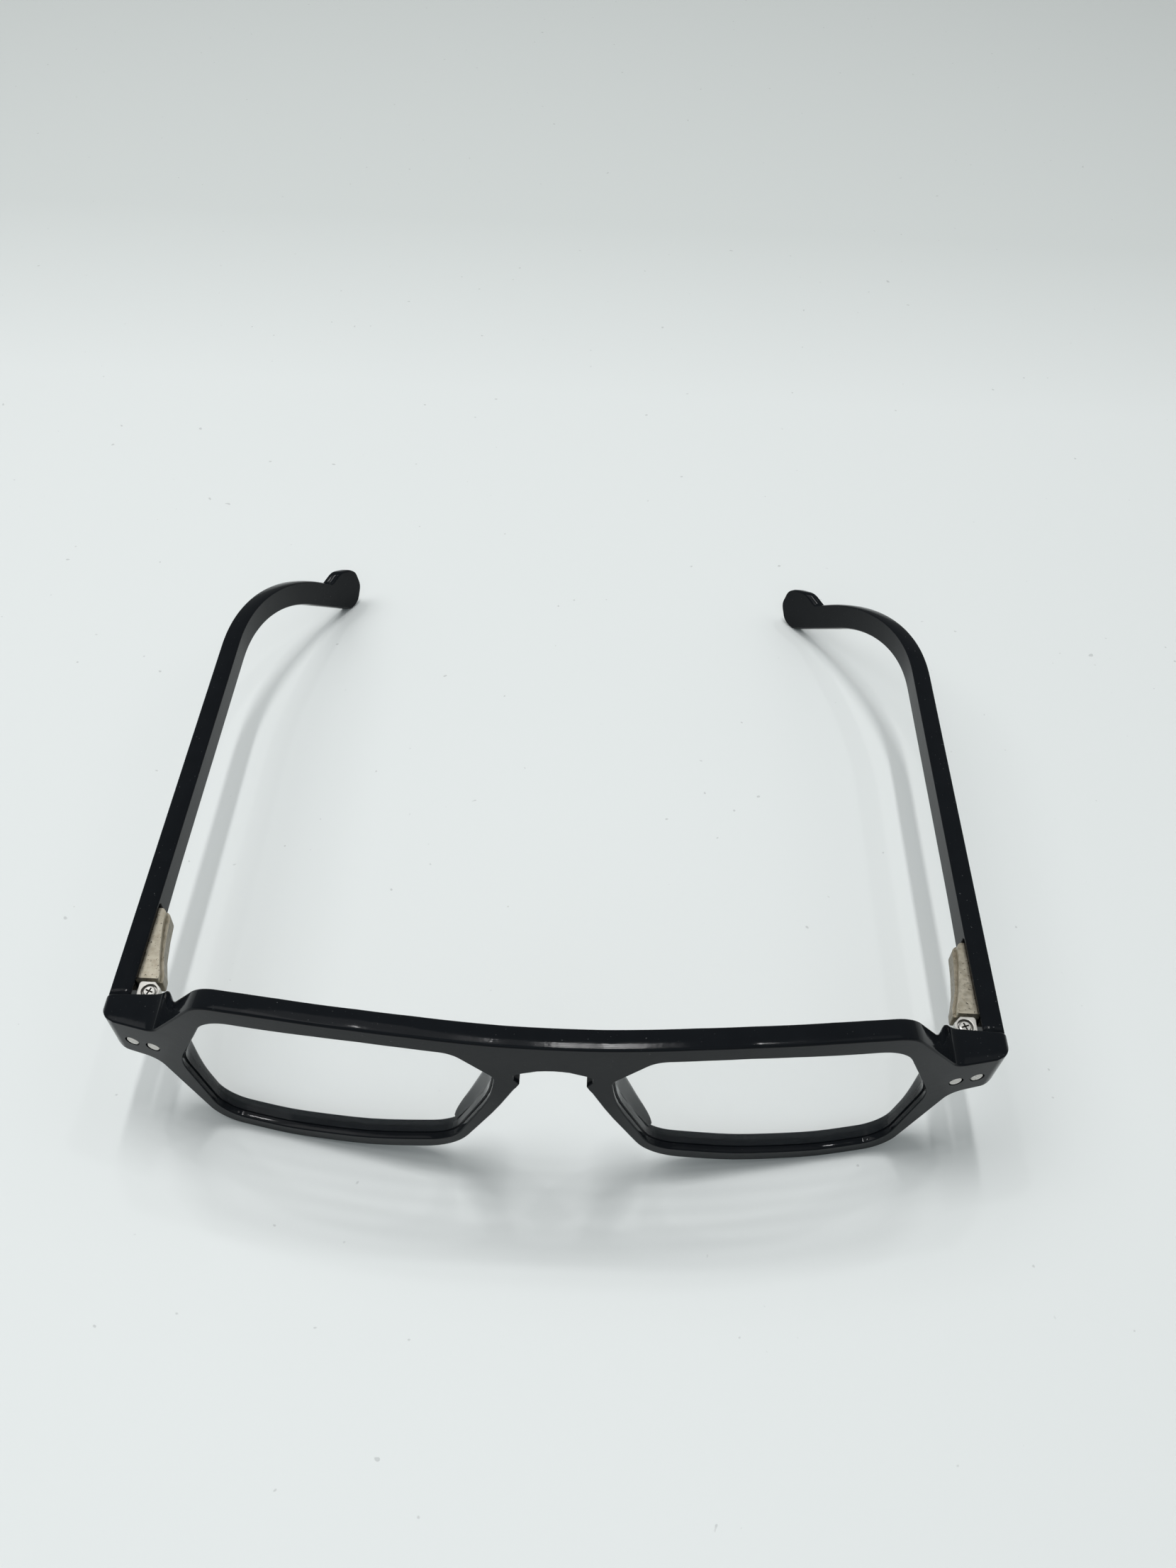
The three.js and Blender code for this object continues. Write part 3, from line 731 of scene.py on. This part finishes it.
def build_temple(word, side):
    """An outer layer of full height and an inner layer that leaves room for the spring housing."""
    bm = bmesh.new()
    normals = {}

    def place(y, z, w):
        along = tail_share(y)
        kept = (TEMPLE_THICK - w) * (1 - TIP_THINNING * along)
        x = TEMPLE_OUTER - TEMPLE_THICK + kept - TIP_INWARD[side] * along ** 2
        return metres(side * x, y, z)

    outline = temple_outline()
    plate(bm, normals, [(rounded(outline), round_edge(TEMPLE_EDGE) + OUTER_LAYER)], place)
    rest = [p for p in outline if p[0] > POCKET_REAR or p[1] > POCKET_TOP]
    pocket = [(POCKET_REAR, POCKET_BOTTOM, 0), (POCKET_REAR, POCKET_TOP, POCKET_CORNER),
              (BUTT_Y, POCKET_TOP, 0)]
    plate(bm, normals, [(rounded(rest + pocket), INNER_LAYER)], place)
    add_piece(f"temple_{word}_arm", bm, TEMPLE_BLACK, f"temple_{word}", "temple_acetate",
              f"temple_{word}", normals=normals)


# ---- Metal pieces, which start from the CAD's shapes ----
def cad_copy(node):
    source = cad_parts[node]
    bm = bmesh.new()
    bm.from_mesh(source.data)
    bm.transform(source.matrix_world)
    return bm


def softened(node, material, body, slot, width):
    """The CAD's shape with its sharp edges bevelled."""
    bm = cad_copy(node)
    bmesh.ops.remove_doubles(bm, verts=bm.verts, dist=WELD_DISTANCE * MM)
    bmesh.ops.dissolve_limit(bm, angle_limit=FLAT_ANGLE, verts=bm.verts, edges=bm.edges)
    bmesh.ops.recalc_face_normals(bm, faces=bm.faces)
    sharp = [e for e in bm.edges if len(e.link_faces) == 2 and e.calc_face_angle() > BEVEL_ANGLE]
    bmesh.ops.bevel(bm, geom=sharp, offset=width * MM, segments=2, profile=0.5, affect="EDGES",
                    clamp_overlap=True)
    add_piece(f"{node}_worn", bm, material, body, slot, node)


def build_core_wire(word, side):
    """The CAD's core wire, bent with the tail of the temple round it."""
    node = f"core_wire_{word}"
    bm = cad_copy(node)
    for vert in bm.verts:
        along = tail_share(vert.co.y / MM - Y_SHIFT)
        vert.co.x -= side * (TIP_INWARD[side] - CAD_TIP_INWARD) * along ** 2 * MM
    add_piece(f"{node}_bent", bm, SPRING_STEEL, f"temple_{word}", "core_steel", node)


def build_hinge(word):
    softened(f"spring_housing_{word}", HOUSING_METAL, f"temple_{word}", "housing_nickel", HOUSING_EDGE)
    softened(f"sprung_knuckle_{word}", LUG_METAL, f"knuckle_{word}", "knuckle_steel", KNUCKLE_EDGE)
    softened(f"hinge_plate_{word}", LUG_METAL, "front", "hinge_nickel", PLATE_EDGE)
    kept = {
        f"hinge_screw_{word}": SCREW_STEEL,
        f"spring_{word}": SPRING_STEEL,
        f"rivet_{word}_inner": RIVET_SILVER,
        f"rivet_{word}_outer": RIVET_SILVER,
    }
    for node, material in kept.items():
        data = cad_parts[node].data
        data.materials.clear()
        data.materials.append(material)


# ---- Stage, lights and camera ----
def build_stage():
    bpy.ops.mesh.primitive_plane_add(size=TABLE_SIZE)
    floor = bpy.context.object
    floor.name = "table"
    floor.data.materials.append(table_paint())
    floor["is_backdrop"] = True


def area_light(name, place, target, size, power, color):
    light = bpy.data.lights.new(name, "AREA")
    light.shape = "DISK"
    light.size = size
    light.energy = power
    light.color = color
    lamp = bpy.data.objects.new(name, light)
    bpy.context.collection.objects.link(lamp)
    lamp.location = place
    lamp.rotation_euler = (Vector(target) - Vector(place)).to_track_quat("-Z", "Y").to_euler()


def build_lights():
    for number, y in enumerate(LAMP_ROW_YS, 1):
        place = (LAMP_ROW_X, y, LAMP_ROW_Z)
        below = (LAMP_ROW_X, y, 0)
        area_light(f"ceiling_lamp_{number}", place, below, LAMP_ROW_SIZE, LAMP_ROW_POWER, WHITE)
    for name, place, size, power, color in LIGHTS:
        area_light(name, place, (0, 0, 0), size, power, color)
    world = bpy.data.worlds.new("room")
    world.use_nodes = True
    background = world.node_tree.nodes["Background"]
    background.inputs["Color"].default_value = ROOM_COLOR
    background.inputs["Strength"].default_value = ROOM_STRENGTH
    bpy.context.scene.world = world


def build_camera():
    pitch, yaw, roll = (math.radians(a) for a in (CAMERA_PITCH, CAMERA_YAW, CAMERA_ROLL))
    ahead = Vector((math.sin(yaw) * math.cos(pitch), math.cos(yaw) * math.cos(pitch), -math.sin(pitch)))
    level = Vector((math.cos(yaw), -math.sin(yaw), 0))
    above = level.cross(ahead)
    right = level * math.cos(roll) + above * math.sin(roll)
    up = above * math.cos(roll) - level * math.sin(roll)
    data = bpy.data.cameras.new("camera")
    data.sensor_width = CAMERA_SENSOR
    data.lens = CAMERA_LENS
    data.clip_start = CAMERA_NEAR
    camera = bpy.data.objects.new("camera", data)
    bpy.context.collection.objects.link(camera)
    turned = Matrix((right, up, -ahead)).transposed().to_4x4()
    camera.matrix_world = Matrix.Translation(metres(*CAMERA_PLACE)) @ turned
    bpy.context.scene.camera = camera


build_camera()
build_stage()
build_lights()
build_front()
for word, side in SIDES:
    build_pad(word, side)
    build_lens(word, side)
    build_temple(word, side)
for word, side in SIDES:
    build_core_wire(word, side)
    build_hinge(word)

bpy.context.scene.view_settings.view_transform = "Standard"
visual_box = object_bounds()
[[list(map(float, corner)) for corner in box] for box in (cad_box, visual_box)]
